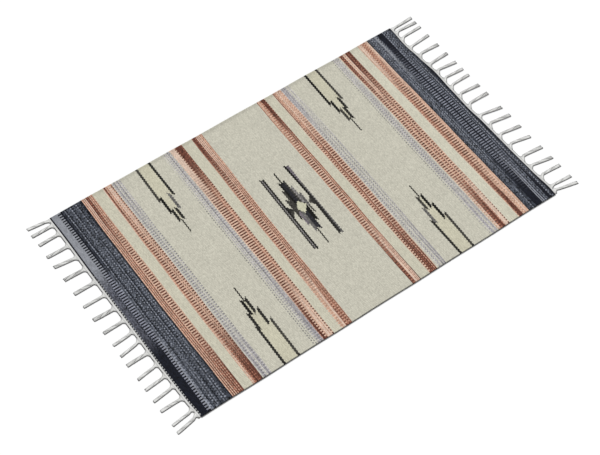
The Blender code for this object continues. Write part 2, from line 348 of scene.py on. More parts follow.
def face_height(along, across, groove):
    """Height of the face above the floor, with its soft rise and fall."""
    along_wave = math.sin(math.tau * along / SWELL_LENGTH)
    across_wave = math.sin(math.tau * across / SWELL_BREADTH)
    return CLOTH_THICKNESS - SWELL - groove + SWELL * along_wave * across_wave


def side_wave(along, across):
    """How far a place is moved across the rug, because the long edges aren't quite straight."""
    edge_share = across / (CLOTH_WIDTH / 2)
    return SELVEDGE_WAVE * edge_share * math.sin(math.tau * along / SELVEDGE_WAVE_LENGTH + edge_share)


points, rib_places = [], []
columns = len(cross_lines) + 2 * len(END_CURVE)
for rib_place, across, edge_height in rows:
    left, right = end_line(-1, LEFT_END, across), end_line(1, RIGHT_END, across)
    inner = [weft_line(line, across) for line in cross_lines]
    inner[0] = left + END_ROOM
    for number in range(1, len(inner)):
        inner[number] = max(inner[number], inner[number - 1] + LEAST_PASS)
    inner[-1] = min(inner[-1], right - END_ROOM)
    for number in range(len(inner) - 2, 0, -1):
        inner[number] = min(inner[number], inner[number + 1] - LEAST_PASS)
    rib = int(rib_place)
    for column in range(columns):
        if column < len(END_CURVE):
            inset, top = END_CURVE[column]
            along = left + inset
        elif column >= columns - len(END_CURVE):
            inset, top = END_CURVE[columns - 1 - column]
            along = right - inset
        else:
            along, top = inner[column - len(END_CURVE)], None
        height = face_height(along, across, CREST_DEPTH if on_crest(rib_place) else GROOVE_DEPTH)
        if on_crest(rib_place):
            height += rib_rise[rib] * math.sin(along * RIB_RISE_TURN + rib * RIB_RISE_STAGGER)
        if top is not None:
            height = min(height, top)
        if edge_height is not None:
            height = min(height, edge_height)
        points.append((along, across + side_wave(along, across), height))
        rib_places.append(rib_place)

faces, face_passes, face_ribs = [], [], []
for row in range(len(rows) - 1):
    rib = int((rows[row][0] + rows[row + 1][0]) / 2)
    for column in range(columns - 1):
        corner = row * columns + column
        faces.append((corner, corner + 1, corner + 1 + columns, corner + columns))
        face_passes.append(min(max(column - len(END_CURVE), 0), len(passes) - 1))
        face_ribs.append(rib)

# The back is the same weave, so it has the same bands; here it lies flat on the floor. It has one
# lengthways line for each groove, and shares its outline with the face.
BACK_HEIGHT = 0.0001
groove_rows = [number for number, row in enumerate(rows) if row[2] is None and row[0] % 1.0 == 0.0]
groove_rows = [0, *groove_rows, len(rows) - 1]
kept_columns = [0, *range(len(END_CURVE), columns - len(END_CURVE)), columns - 1]
back_point = {}
for order, row in enumerate(groove_rows):
    for column in kept_columns:
        if row in (0, len(rows) - 1) or column in (0, columns - 1):
            back_point[order, column] = row * columns + column
            continue
        along, across, _ = points[row * columns + column]
        back_point[order, column] = len(points)
        points.append((along, across, BACK_HEIGHT))
        rib_places.append(rows[row][0])
for order in range(len(groove_rows) - 1):
    for here, there in zip(kept_columns, kept_columns[1:]):
        low, high = groove_rows[order], groove_rows[order + 1]
        corners = [back_point[order, here], back_point[order + 1, here]]
        if here == 0:
            corners[1:1] = [row * columns for row in range(low + 1, high)]
        corners += [back_point[order + 1, there], back_point[order, there]]
        if there == columns - 1:
            corners[-1:-1] = [row * columns + columns - 1 for row in range(high - 1, low, -1)]
        faces.append(tuple(corners))
        face_passes.append(min(max(here - len(END_CURVE), 0), len(passes) - 1))
        face_ribs.append(min(order, RIB_COUNT - 1))

cloth_mesh = bpy.data.meshes.new("kilim_cloth")
cloth_mesh.from_pydata(points, [], faces)
cloth_mesh.validate()
cloth_mesh.shade_smooth()
weft_colour = cloth_mesh.attributes.new("weft_colour", "FLOAT_COLOR", "FACE")
rib_place = cloth_mesh.attributes.new("rib_place", "FLOAT", "POINT")
rib_place.data.foreach_set("value", rib_places)
colours = []
for number, rib in zip(face_passes, face_ribs):
    across = ((rib + 0.5) / RIB_COUNT - 0.5) * CLOTH_WIDTH
    yarns = [pair[rib % 2] for pair in passes[number]]
    colours.extend(yarn_at(*yarns, across, cross_lines[number][1]))
weft_colour.data.foreach_set("color", colours)
cloth = bpy.data.objects.new("kilim_cloth", cloth_mesh)
bpy.context.scene.collection.objects.link(cloth)

wool = bpy.data.materials.new("flat_woven_wool")
wool.use_nodes = True
tree = wool.node_tree


def node(kind, **settings):
    """A new node in the material that is being made, with its settings."""
    made = tree.nodes.new(kind)
    for name, value in settings.items():
        setattr(made, name, value)
    return made


def plug(value, socket):
    """Gives a socket its value: the result of another node, a number, or a colour in three parts."""
    if isinstance(value, bpy.types.NodeSocket):
        tree.links.new(value, socket)
    elif isinstance(value, (int, float)):
        socket.default_value = value
    else:
        socket.default_value = (*value, 1.0)


def maths(operation, *values):
    """One step of arithmetic on sockets and numbers. Like the next ones, it returns a socket."""
    made = node("ShaderNodeMath", operation=operation)
    for place, value in enumerate(values):
        plug(value, made.inputs[place])
    return made.outputs[0]


def blend_colours(kind, amount, below, above):
    """Mixes two colours."""
    made = node("ShaderNodeMix", data_type="RGBA", blend_type=kind)
    for place, value in ((0, amount), (6, below), (7, above)):   # this node's sockets for colours
        plug(value, made.inputs[place])
    return made.outputs[2]


def deepen(colour, depth):
    """A colour made darker or lighter by a value near 1."""
    grey = node("ShaderNodeCombineColor")
    for channel in range(3):
        tree.links.new(depth, grey.inputs[channel])
    return blend_colours("MULTIPLY", 1.0, colour, grey.outputs[0])


def noise(dimensions, place, scale, detail):
    """A soft random pattern around 0.5."""
    made = node("ShaderNodeTexNoise", noise_dimensions=dimensions)
    made.inputs["Scale"].default_value = scale
    made.inputs["Detail"].default_value = detail
    tree.links.new(place, made.inputs["Vector"])
    return made.outputs[0]


def chance_at(*numbers):
    """A random value from 0 to 1 for each set of two or three whole numbers."""
    place = node("ShaderNodeCombineXYZ")
    for socket, number in zip(place.inputs, numbers):
        plug(number, socket)
    made = node("ShaderNodeTexWhiteNoise", noise_dimensions=f"{len(numbers)}D")
    tree.links.new(place.outputs[0], made.inputs["Vector"])
    return made.outputs["Value"]


def smooth_change(value, start, stop, low, high):
    """A smooth change from low to high, while a value goes from start to stop."""
    made = node("ShaderNodeMapRange", interpolation_type="SMOOTHSTEP")
    for name, number in (("From Min", start), ("From Max", stop), ("To Min", low), ("To Max", high)):
        made.inputs[name].default_value = number
    tree.links.new(value, made.inputs["Value"])
    return made.outputs[0]


def raised_by(relief, strength, distance):
    """The small relief of a surface, from low at 0 to high at 1, over a distance in metres."""
    made = node("ShaderNodeBump")
    made.inputs["Strength"].default_value = strength
    made.inputs["Distance"].default_value = distance
    tree.links.new(relief, made.inputs["Height"])
    return made.outputs[0]


where = node("ShaderNodeTexCoord").outputs["Object"]
directions = node("ShaderNodeSeparateXYZ")
tree.links.new(where, directions.inputs[0])
warp_way = maths("MULTIPLY", directions.outputs["X"], MILLIMETRES)
rib_way = node("ShaderNodeAttribute", attribute_name="rib_place").outputs["Fac"]
weft = node("ShaderNodeAttribute", attribute_name="weft_colour")
rib_number = maths("FLOOR", rib_way)
in_rib = maths("FRACT", rib_way)
every_other = maths("MODULO", rib_number, 2.0)

# Each rib shows every second pass of weft, so stitches of neighbouring ribs stand half a step apart
STITCH = 1.5                     # millimetres along a rib
stitch_way = maths("ADD", maths("DIVIDE", warp_way, STITCH), maths("MULTIPLY", every_other, 0.5))
stitch_number = maths("FLOOR", stitch_way)
in_stitch = maths("FRACT", stitch_way)

# The motifs, charted as bars of a few warps' width. A bar steps from rib to rib as it leans.
MOTIF_YARNS = {
    "y": dyed(212, 208, 185),   # warm cream that fills the arrows
    "e": dyed(134, 131, 129),   # light smoke
    "v": dyed(114, 107, 114),   # violet smoke
    "o": dyed(108, 106, 104),   # smoke
    "h": dyed(68, 66, 61),      # ash
    "n": dyed(45, 44, 41),      # charcoal
    "d": dyed(42, 42, 47),      # blue black of the stepped diamond
    "k": dyed(22, 21, 19),      # black
    "z": dyed(213, 211, 185),   # pale heart of the middle motif
}

# Two arrows point in from each long edge. Each is a short bar at its tip and three pairs of bars that
# step apart, with warm cream between them. An arrow's first value is its edge, 1 far and -1 near; then
# a row for each step, in millimetres: where it starts and stops, from the rug's middle outwards; the
# line that it stands on; how far its bars stand from that line where it starts and where it stops;
# and the yarns of its bars, the left one first.
ARROWS = (
    (1, ((91, 128, -239.5, 0, 0, "k"), (123, 165, -238.5, 5, 5, "nn"),          # far left
         (152, 207, -236.5, 11, 11, "ko"), (191, 303, -233.5, 18, 16.5, "hn"))),
    (-1, ((86, 127, -245.5, 0, 0, "k"), (118, 167, -246.5, 5, 5, "kn"),         # near left
          (153, 206, -246, 12, 12, "nn"), (190, 303, -244, 18, 18, "nh"))),
    (1, ((94, 138, 232, 0, 0, "k"), (129, 175, 233, 5, 5, "hn"),                # far right
         (161, 206, 233.5, 10, 10, "kn"), (190, 303, 235, 16.5, 15.5, "kh"))),
    (-1, ((93, 132, 225.5, 0, 0, "k"), (124, 171, 225, 5.5, 5.5, "hk"),         # near right
          (157, 211, 225, 12, 12, "ok"), (193, 303, 225, 18.5, 17, "nh"))),
)
BAR_WIDTHS = (2.5, 6.0, 6.0, 5.4)    # of an arrow's bars, step by step from its tip
ARROW_LEAN = 0.02                    # how far they lean to the right, for each step to the far side
CREAM_START = 7.0                    # the cream starts this much further out than the bars beside it

# The middle motif, a row for each bar: its far end's place across and its left and right side; its
# near end in the same way; where its two ends have their tips (l left, r right, - none); and its yarn.
MIDDLE_BARS = (
    # the long bars at its left, with a point on them that reaches for the stepped diamond
    (113, -40.5, -37.5, -108, -47, -44, "--", "n"), (114, -34.5, -30.5, -110, -41, -37.5, "r-", "k"),
    (111, -38, -34, 46, -39.5, -35.5, "--", "e"), (46, -40, -35.5, -108, -44.5, -40.5, "--", "e"),
    (19, -36, -33.5, 3, -36.5, -22.5, "--", "n"), (3, -36.5, -22.5, -14, -37, -34, "--", "h"),
    # those at its right, with theirs
    (113, 26, 30.5, 16, 27, 31.5, "--", "k"), (16, 27, 31.5, -108, 22, 28.5, "-l", "n"),
    (109, 30, 37, 56, 31, 34.5, "--", "v"), (56, 31, 34.5, -108, 28, 32.5, "--", "o"),
    (13, 25.5, 27.5, 1, 16.5, 27.5, "--", "h"), (1, 16.5, 27.5, -12, 25.5, 27, "--", "h"),
    # the stepped diamond: its far half dark to the left, its near half dark to the right
    (112, -4, -1.5, 74, -5, -2, "--", "k"), (84, -11, -7, 9, -11.5, -7, "l-", "k"),
    (78, -7, 1, 9, -8, 1, "--", "d"), (84, 1, 4.5, 9, 0, 4.5, "r-", "h"),
    (62, -16.5, -10.5, -6, -17, -11, "l-", "h"), (61, 4.5, 10.5, 0, 4.5, 11, "r-", "e"),
    (38, -24.5, -17, -12, -24, -17, "l-", "h"), (-10, -24.5, -20, -30, -24.5, -21, "-l", "n"),
    (37, 11, 17, -4, 10.5, 15.5, "r-", "o"), (-2, 9.5, 15, -29, 11.5, 15, "-r", "h"),
    (3, -19.5, -8, -50, -20.5, -14.5, "-l", "v"), (-2, -15, -7, -73, -16, -9.5, "-l", "o"),
    (-2, -7, 1, -73, -9, 0.5, "-r", "d"), (6, 0, 9.5, -50, 0.5, 7.5, "-r", "k"),
    (-66, -11, -8, -110, -12, -9.5, "--", "k"),
    # its pale heart
    (19, -4, -3.5, 1, -15, 9, "--", "z"), (1, -15, 9, -17, -6.5, -5.5, "--", "z"),
)
TIP_SLANT = 0.3                  # how many ribs a tip rises over one millimetre of its bar's width
BAR_SPREAD = 0.25                # the soft wool spreads a bar this far beyond its chart on each side
LEAST_WEDGE = 1.0                # a bar whose half width changes by less than this keeps one width


def arrow_bars(edge, steps):
    """The bars of one arrow, as rows like those of the middle motif."""
    bars = []

    def add_bar(start, stop, line, beside, start_spread, stop_spread, width, tips, yarn):
        """One bar; beside is -1 for one at the left of its line, 1 at the right and 0 on it."""
        drift = edge * ARROW_LEAN * (stop - start) / 2
        ends = []
        for place, centre in ((start, line - drift + beside * start_spread),
                              (stop, line + drift + beside * stop_spread)):
            ends.append((edge * place, centre - width / 2, centre + width / 2))
        far_end, near_end = sorted(ends, reverse=True)
        bars.append((*far_end, *near_end, tips if edge < 0 else tips[::-1], yarn))

    for width, (start, stop, line, spread, stop_spread, yarns) in zip(BAR_WIDTHS, steps):
        if not spread:
            add_bar(start, stop, line, 0, 0, 0, width, "--", yarns)
            continue
        add_bar(start + CREAM_START, stop, line, 0, 0, 0, 2 * spread, "--", "y")
        for beside, yarn, outer, inner in ((-1, yarns[0], "l", "r"), (1, yarns[1], "r", "l")):
            last = "-" if stop > CLOTH_WIDTH / 2 * MILLIMETRES else inner
            add_bar(start, stop, line, beside, spread, stop_spread, width, outer + last, yarn)
    return bars


def bar_mask(far_across, far_left, far_right, near_across, near_left, near_right, tips):
    """1 inside a bar and 0 outside it."""
    far_rib = (far_across / MILLIMETRES / CLOTH_WIDTH + 0.5) * RIB_COUNT
    near_rib = (near_across / MILLIMETRES / CLOTH_WIDTH + 0.5) * RIB_COUNT
    lean = ((far_left + far_right) - (near_left + near_right)) / 2 / (far_rib - near_rib)
    centre = maths("MULTIPLY_ADD", rib_middle, lean, (near_left + near_right) / 2 - lean * near_rib)
    far_half, near_half = (far_right - far_left) / 2, (near_right - near_left) / 2
    half = near_half + BAR_SPREAD
    if abs(far_half - near_half) > LEAST_WEDGE:
        grow = (far_half - near_half) / (far_rib - near_rib)
        half = maths("MULTIPLY_ADD", rib_middle, grow, near_half - grow * near_rib + BAR_SPREAD)
    beside = maths("COMPARE", stepped_way, centre, half)
    slant = {"-": 0.0, "r": TIP_SLANT, "l": -TIP_SLANT}[tips[0]]
    far_limit = far_rib - slant * (far_right if slant > 0 else far_left)
    below = maths("LESS_THAN", slanted_ribs[slant], far_limit)
    slant = {"-": 0.0, "r": -TIP_SLANT, "l": TIP_SLANT}[tips[1]]
    near_limit = near_rib - slant * (near_left if slant > 0 else near_right)
    above = maths("GREATER_THAN", slanted_ribs[slant], near_limit)
    return maths("MULTIPLY", beside, maths("MULTIPLY", below, above))


# Where two yarns meet, both turn back round one warp, so the join steps to and fro from rib to rib
JOIN_STEP = 1.1                  # millimetres that it stands further left on odd ribs
stepped_way = maths("MULTIPLY_ADD", maths("SUBTRACT", every_other, 0.5), JOIN_STEP, warp_way)
rib_middle = maths("ADD", rib_number, 0.5)
slanted_ribs = {}
for slant in (-TIP_SLANT, 0.0, TIP_SLANT):
    slanted_ribs[slant] = maths("MULTIPLY_ADD", warp_way, -slant, rib_middle)
colour = weft.outputs["Color"]
any_motif = 0.0
motif_bars = [*MIDDLE_BARS]
for edge, steps in ARROWS:
    motif_bars.extend(arrow_bars(edge, steps))
for letter, dye in MOTIF_YARNS.items():
    mask = None
    for *chart, yarn in motif_bars:
        if yarn == letter:
            found = bar_mask(*chart)
            mask = found if mask is None else maths("MAXIMUM", mask, found)
    colour = blend_colours("MIX", mask, colour, dye)
    if letter in "yz":           # the pale yarns are as even as the ground beside them
        any_motif = maths("MULTIPLY", any_motif, maths("SUBTRACT", 1.0, mask))
    else:
        any_motif = maths("MAXIMUM", any_motif, mask)

# Hand-dyed, hand-spun wool: each stitch, each short length of yarn, each pass and each stretch of
# cloth has its own depth of colour. A motif is hatched too, darker and lighter from rib to rib.
YARN_LENGTH = 2.3                # millimetres of a rib that one short length of yarn covers
LENGTH_STAGGER = 0.377           # how far it is shifted from one rib to the next, as a share of it
LENGTH_UNEVENNESS = 1.7          # how much it changes, where a single stitch changes by 1
LENGTH_DRAW = 7.0                # keeps its chances apart from those of the stitches
MOTIF_UNEVENNESS = 0.45
MOTIF_HATCH = 0.25
STREAKS = (620.0, 9.0, 1.0)      # changes in a metre along the rug, across it and upwards
STREAK_UNEVENNESS = 0.16
CLOUDS = 26.0                    # changes in a metre
CLOUD_UNEVENNESS = 0.08
stitch_chance = chance_at(stitch_number, rib_number)
length_way = maths("MULTIPLY_ADD", rib_number, LENGTH_STAGGER, maths("DIVIDE", warp_way, YARN_LENGTH))
length_chance = chance_at(maths("FLOOR", length_way), rib_number, LENGTH_DRAW)
uneven = maths("SUBTRACT", stitch_chance, 0.5)
uneven = maths("MULTIPLY_ADD", maths("SUBTRACT", length_chance, 0.5), LENGTH_UNEVENNESS, uneven)
amount = maths("MAXIMUM", weft.outputs["Alpha"], maths("MULTIPLY", any_motif, MOTIF_UNEVENNESS))
uneven = maths("MULTIPLY", uneven, amount)
hatch = maths("MULTIPLY", maths("SUBTRACT", every_other, 0.5), any_motif)
uneven = maths("MULTIPLY_ADD", hatch, MOTIF_HATCH, uneven)

streak_place = node("ShaderNodeMapping")
streak_place.inputs["Scale"].default_value = STREAKS
tree.links.new(where, streak_place.inputs["Vector"])
streaks = noise("2D", streak_place.outputs[0], scale=1.0, detail=2.0)
clouds = noise("2D", where, CLOUDS, detail=3.0)
depth = maths("MULTIPLY_ADD", maths("SUBTRACT", streaks, 0.5), STREAK_UNEVENNESS, 1.0)
depth = maths("MULTIPLY_ADD", maths("SUBTRACT", clouds, 0.5), CLOUD_UNEVENNESS, depth)
depth = maths("ADD", depth, uneven)

# The grooves between the ribs lie deep, and the foot of each stitch is in shade
GROOVE_SHADE, GROOVE_SHARPNESS = 0.15, 3.0
STITCH_SHADE, STITCH_SHARPNESS = 0.10, 2.5


def off_middle(share, sharpness):
    """0 in the middle of a rib or a stitch, and 1 at both its sides."""
    distance = maths("ABSOLUTE", maths("MULTIPLY", maths("SUBTRACT", share, 0.5), 2.0))
    return maths("POWER", distance, sharpness)


rib_round = off_middle(in_rib, GROOVE_SHARPNESS)
stitch_round = off_middle(in_stitch, STITCH_SHARPNESS)
depth = maths("MULTIPLY_ADD", rib_round, -GROOVE_SHADE, depth)
depth = maths("MULTIPLY_ADD", stitch_round, -STITCH_SHADE, depth)

# Painted shade along both long edges: the outer side of the weft's turns is made nearly black, for the
# shade on the cloth's side wall. The last ribs at the far edge are a little darker than the others,
# also painted shade.
EDGE_SHADE_FROM, EDGE_SHADE_TO = 0.50, 0.33  # ribs in from an edge: unshaded inside the first, fully shaded outside the last
EDGE_SHADE_DEPTH = 0.04                # what the shaded side keeps of its colour
FAR_SHADE_FROM, FAR_SHADE_TO = 3.6, 1.0        # ribs in from the far edge, in the same way
FAR_SHADE_DEPTH = 0.85
from_edge = maths("MINIMUM", rib_way, maths("SUBTRACT", RIB_COUNT, rib_way))
# painted shade on the side walls of both long edges
edge_shade = smooth_change(from_edge, EDGE_SHADE_TO, EDGE_SHADE_FROM, EDGE_SHADE_DEPTH, 1.0)
depth = maths("MULTIPLY", depth, edge_shade)
# painted shade on the last ribs at the far edge
far_shade_from, far_shade_to = RIB_COUNT - FAR_SHADE_FROM, RIB_COUNT - FAR_SHADE_TO
far_shade = smooth_change(rib_way, far_shade_from, far_shade_to, 1.0, FAR_SHADE_DEPTH)
depth = maths("MULTIPLY", depth, far_shade)
colour = deepen(colour, depth)

# Fine fuzz lies over the rounded stitches
FUZZ = 1400.0                    # changes in a metre
FUZZ_RELIEF, FUZZ_ROUGHNESS, WOOL_ROUGHNESS = 0.35, 0.16, 0.80
fuzz = noise("3D", where, FUZZ, detail=2.0)
relief = maths("MULTIPLY", maths("SUBTRACT", 1.0, stitch_round), maths("SUBTRACT", 1.0, rib_round))
relief = maths("MULTIPLY_ADD", fuzz, FUZZ_RELIEF, relief)
roughness = maths("MULTIPLY_ADD", fuzz, FUZZ_ROUGHNESS, WOOL_ROUGHNESS)

shader = tree.nodes["Principled BSDF"]
shader.inputs["Specular IOR Level"].default_value = 0.15
shader.inputs["Sheen Weight"].default_value = 0.04
shader.inputs["Sheen Roughness"].default_value = 0.6
tree.links.new(colour, shader.inputs["Base Color"])
tree.links.new(roughness, shader.inputs["Roughness"])
tree.links.new(raised_by(relief, strength=0.8, distance=0.0004), shader.inputs["Normal"])
cloth_mesh.materials.append(wool)

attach(cloth, "root")
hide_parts("woven_body")


# The fringe: undyed cotton warps. A few passes of white weft hold them beside the cloth, then about
# nine warps at a time are drawn together in an arch, lightly twisted and cut off level at the tip.
SEAM_GAP = 0.0003                # between the cloth and the header
HEADER_WIDTH = 0.0052
HEADER_SECTION = (
    (-0.0003, 0.0010), (-0.0001, 0.0034), (0.0010, 0.0036), (0.0026, 0.0030),
    (0.0042, 0.0024), (0.0053, 0.0014), (0.0056, 0.0003),
)                                # distance out from the gap, and height over a rib
HEADER_STEPS = (0.0, 0.3, 0.7)   # its lines in each rib: one in the groove and two on the crest
HEADER_GROOVE = 0.78             # its height in a groove, as a share of that over a rib
HEADER_SIDE, HEADER_SIDE_LENGTH = 0.45, 0.0025       # what it falls to at the long edges
TASSEL_HEIGHT, TIP_HEIGHT = 0.0030, 0.0024
ARCH_RADIUS = 0.0068             # the widest arch at a tassel's root
ARCH_ROOM = 0.0006               # kept free between an arch and its neighbour
NECK_PLACE = 0.0100              # how far out from the header a tassel is gathered
YARNS_IN_TASSEL = 11
YARN_RADIUS = 0.00082
YARN_SIDES = 6
YARN_STEPS, STEP_GROWTH = 24, 1.25           # its steps grow longer towards the tip
YARN_START = 0.0022              # how far a yarn reaches back into the header
ROOT_LIFT = 0.0010               # how far above the floor it leaves the header
TIP_TAPER = 0.75                 # its radius at the tip, as a share
TASSEL_LOOSENESS = 0.0022        # how much wider its loose yarns make it
TWIST = (0.7, 1.25)              # turns from root to tip
SWAY = 0.0006                    # the most that a tassel bends sideways
CUT = (-0.0012, 0.0003)          # how unevenly the yarns are cut
# Least darkening of the header, of a tassel near its root, and of its cut tip, where it is painted
# shade
HEADER_DARKENING, ROOT_DARKENING, TIP_SHADE = 0.50, 0.45, 0.85      # 0 none, 1 as dark as an outer yarn's painted shade
ROOT_DARKENING_LENGTH = 0.040
HEADER_FOOT, HEADER_FOOT_LENGTH = 0.0022, 0.0026         # where its outer side starts to get painted shade, and over how much

# One row for each tassel: the places of its root, neck and tip across the rug, its width, its reach
LEFT_TASSELS = (
    (0.2962, 0.2990, 0.3035, 0.0056, 0.0563), (0.2815, 0.2815, 0.2816, 0.0064, 0.0570),
    (0.2541, 0.2530, 0.2525, 0.0060, 0.0559), (0.2148, 0.2150, 0.2160, 0.0066, 0.0574),
    (0.1781, 0.1800, 0.1852, 0.0066, 0.0579), (0.1422, 0.1425, 0.1441, 0.0075, 0.0570),
    (0.1019, 0.1010, 0.1014, 0.0071, 0.0574), (0.0610, 0.0612, 0.0619, 0.0052, 0.0579),
    (0.0207, 0.0210, 0.0226, 0.0078, 0.0574), (-0.0161, -0.0170, -0.0176, 0.0062, 0.0570),
    (-0.0499, -0.0515, -0.0543, 0.0050, 0.0559), (-0.0767, -0.0800, -0.0859, 0.0046, 0.0568),
    (-0.1119, -0.1120, -0.1123, 0.0066, 0.0581), (-0.1460, -0.1485, -0.1532, 0.0048, 0.0570),
    (-0.1785, -0.1800, -0.1830, 0.0052, 0.0574), (-0.2080, -0.2105, -0.2152, 0.0050, 0.0579),
    (-0.2425, -0.2425, -0.2425, 0.0056, 0.0581), (-0.2760, -0.2790, -0.2834, 0.0044, 0.0559),
    (-0.2908, -0.2955, -0.3032, 0.0052, 0.0570),
)
RIGHT_TASSELS = (
    (0.2961, 0.2970, 0.2986, 0.0056, 0.0623), (0.2814, 0.2838, 0.2812, 0.0056, 0.0623),
    (0.2566, 0.2615, 0.2635, 0.0050, 0.0623), (0.2251, 0.2270, 0.2312, 0.0052, 0.0619),
    (0.1915, 0.1962, 0.1948, 0.0062, 0.0627), (0.1576, 0.1585, 0.1608, 0.0060, 0.0634),
    (0.1282, 0.1330, 0.1275, 0.0060, 0.0634), (0.0997, 0.1050, 0.1019, 0.0052, 0.0634),
    (0.0731, 0.0784, 0.0797, 0.0052, 0.0634), (0.0400, 0.0465, 0.0420, 0.0062, 0.0639),
    (0.0046, 0.0115, 0.0112, 0.0064, 0.0645), (-0.0313, -0.0300, -0.0400, 0.0060, 0.0645),
    (-0.0690, -0.0612, -0.0692, 0.0068, 0.0656), (-0.1037, -0.0990, -0.1072, 0.0062, 0.0645),
    (-0.1404, -0.1345, -0.1440, 0.0060, 0.0634), (-0.1830, -0.1775, -0.1822, 0.0068, 0.0656),
    (-0.2105, -0.2090, -0.2182, 0.0060, 0.0656), (-0.2479, -0.2425, -0.2452, 0.0060, 0.0656),
    (-0.2801, -0.2780, -0.2822, 0.0054, 0.0656), (-0.2907, -0.2935, -0.3043, 0.0054, 0.0660),
)


def header_edge(side, end_rows, across):
    """Distance of the header's outer edge from the middle of the rug."""
    return abs(end_line(side, end_rows, across)) + SEAM_GAP + HEADER_WIDTH


def root_arches(tassels, number):
    """Radius of the arch on the far and the near side of a tassel's root."""
    root, _, _, width, _ = tassels[number]
    radii = []
    for neighbour in (number - 1, number + 1):
        if 0 <= neighbour < len(tassels):
            there = tassels[neighbour]
            free = (abs(root - there[0]) - (width + there[3]) / 2) / 2
        else:
            free = CLOTH_WIDTH / 2 - abs(root) - width / 2
        radii.append(min(ARCH_RADIUS, max(free - ARCH_ROOM, 0.0)))
    return radii


class Yarnwork:
    """The points and faces of one fringe as they are laid down. Each point has its place along and
    around its yarn, and its darkening, from 0 to 1, which is mostly painted shade."""

    def __init__(self):
        self.points, self.faces = [], []
        self.along, self.round, self.darkening = [], [], []

    def add_point(self, place, along, around, darkening):
        """One more point, at a place in metres."""
        self.points.append(place)
        self.along.append(along)
        self.round.append(around)
        self.darkening.append(darkening)

    def add_header(self, side, end_rows):
        """White weft over the same ribs, falling from the cloth to the floor."""
        first = len(self.points)
        strip = [rib + share for rib in range(RIB_COUNT) for share in HEADER_STEPS]
        strip.append(RIB_COUNT)
        for place in strip:
            across = (place / RIB_COUNT - 0.5) * CLOTH_WIDTH
            base = end_line(side, end_rows, across)
            shoulder = ease((CLOTH_WIDTH / 2 - abs(across)) / HEADER_SIDE_LENGTH)
            rib_height = 1.0 if on_crest(place) else HEADER_GROOVE
            for out, height in HEADER_SECTION:
                height *= rib_height * (HEADER_SIDE + (1.0 - HEADER_SIDE) * shoulder)
                point = Vector((base + side * (SEAM_GAP + out), across, height))
                # painted shade on the header's outer side, where it falls to the floor; inside that,
                # the whole header is a little darker
                darkening = max(ease((out - HEADER_FOOT) / HEADER_FOOT_LENGTH), HEADER_DARKENING)
                self.add_point(point, out, place / 2.0, darkening)
        wide = len(HEADER_SECTION)
        for row in range(len(strip) - 1):
            for column in range(wide - 1):
                corner = first + row * wide + column
                face = (corner, corner + 1, corner + 1 + wide, corner + wide)
                self.faces.append(face if side > 0 else face[::-1])

    def add_yarn(self, path, radii, spans, start):
        """A round yarn along a path, closed at both ends; start is its place on the ball of yarn. At
        each place of the path its tassel has a middle, a half width and a least share of darkening;
        towards the tassel's two sides the yarn gets painted shade."""
        first = len(self.points)
        run = start
        for number, place in enumerate(path):
            before, after = path[max(number - 1, 0)], path[min(number + 1, len(path) - 1)]
            forward = (after - before).normalized()
            aside = forward.cross(Vector((0.0, 0.0, 1.0))).normalized()
            upward = aside.cross(forward)
            if number:
                run += (place - path[number - 1]).length
            middle, half, least_darkening = spans[number]
            for side in range(YARN_SIDES):
                turn = math.tau * side / YARN_SIDES
                point = place + (aside * math.cos(turn) + upward * math.sin(turn)) * radii[number]
                # painted shade, more towards the tassel's two sides
                darkening = max(min(abs(point.y - middle) / half, 1.0), least_darkening)
                self.add_point(point, run, side / YARN_SIDES, darkening)
        for number in range(len(path) - 1):
            for side in range(YARN_SIDES):
                here, there = first + number * YARN_SIDES, first + (number + 1) * YARN_SIDES
                step = (side + 1) % YARN_SIDES
                self.faces.append((here + side, here + step, there + step, there + side))
        last = first + (len(path) - 1) * YARN_SIDES
        self.faces.append(tuple(first + side for side in reversed(range(YARN_SIDES))))
        self.faces.append(tuple(last + side for side in range(YARN_SIDES)))


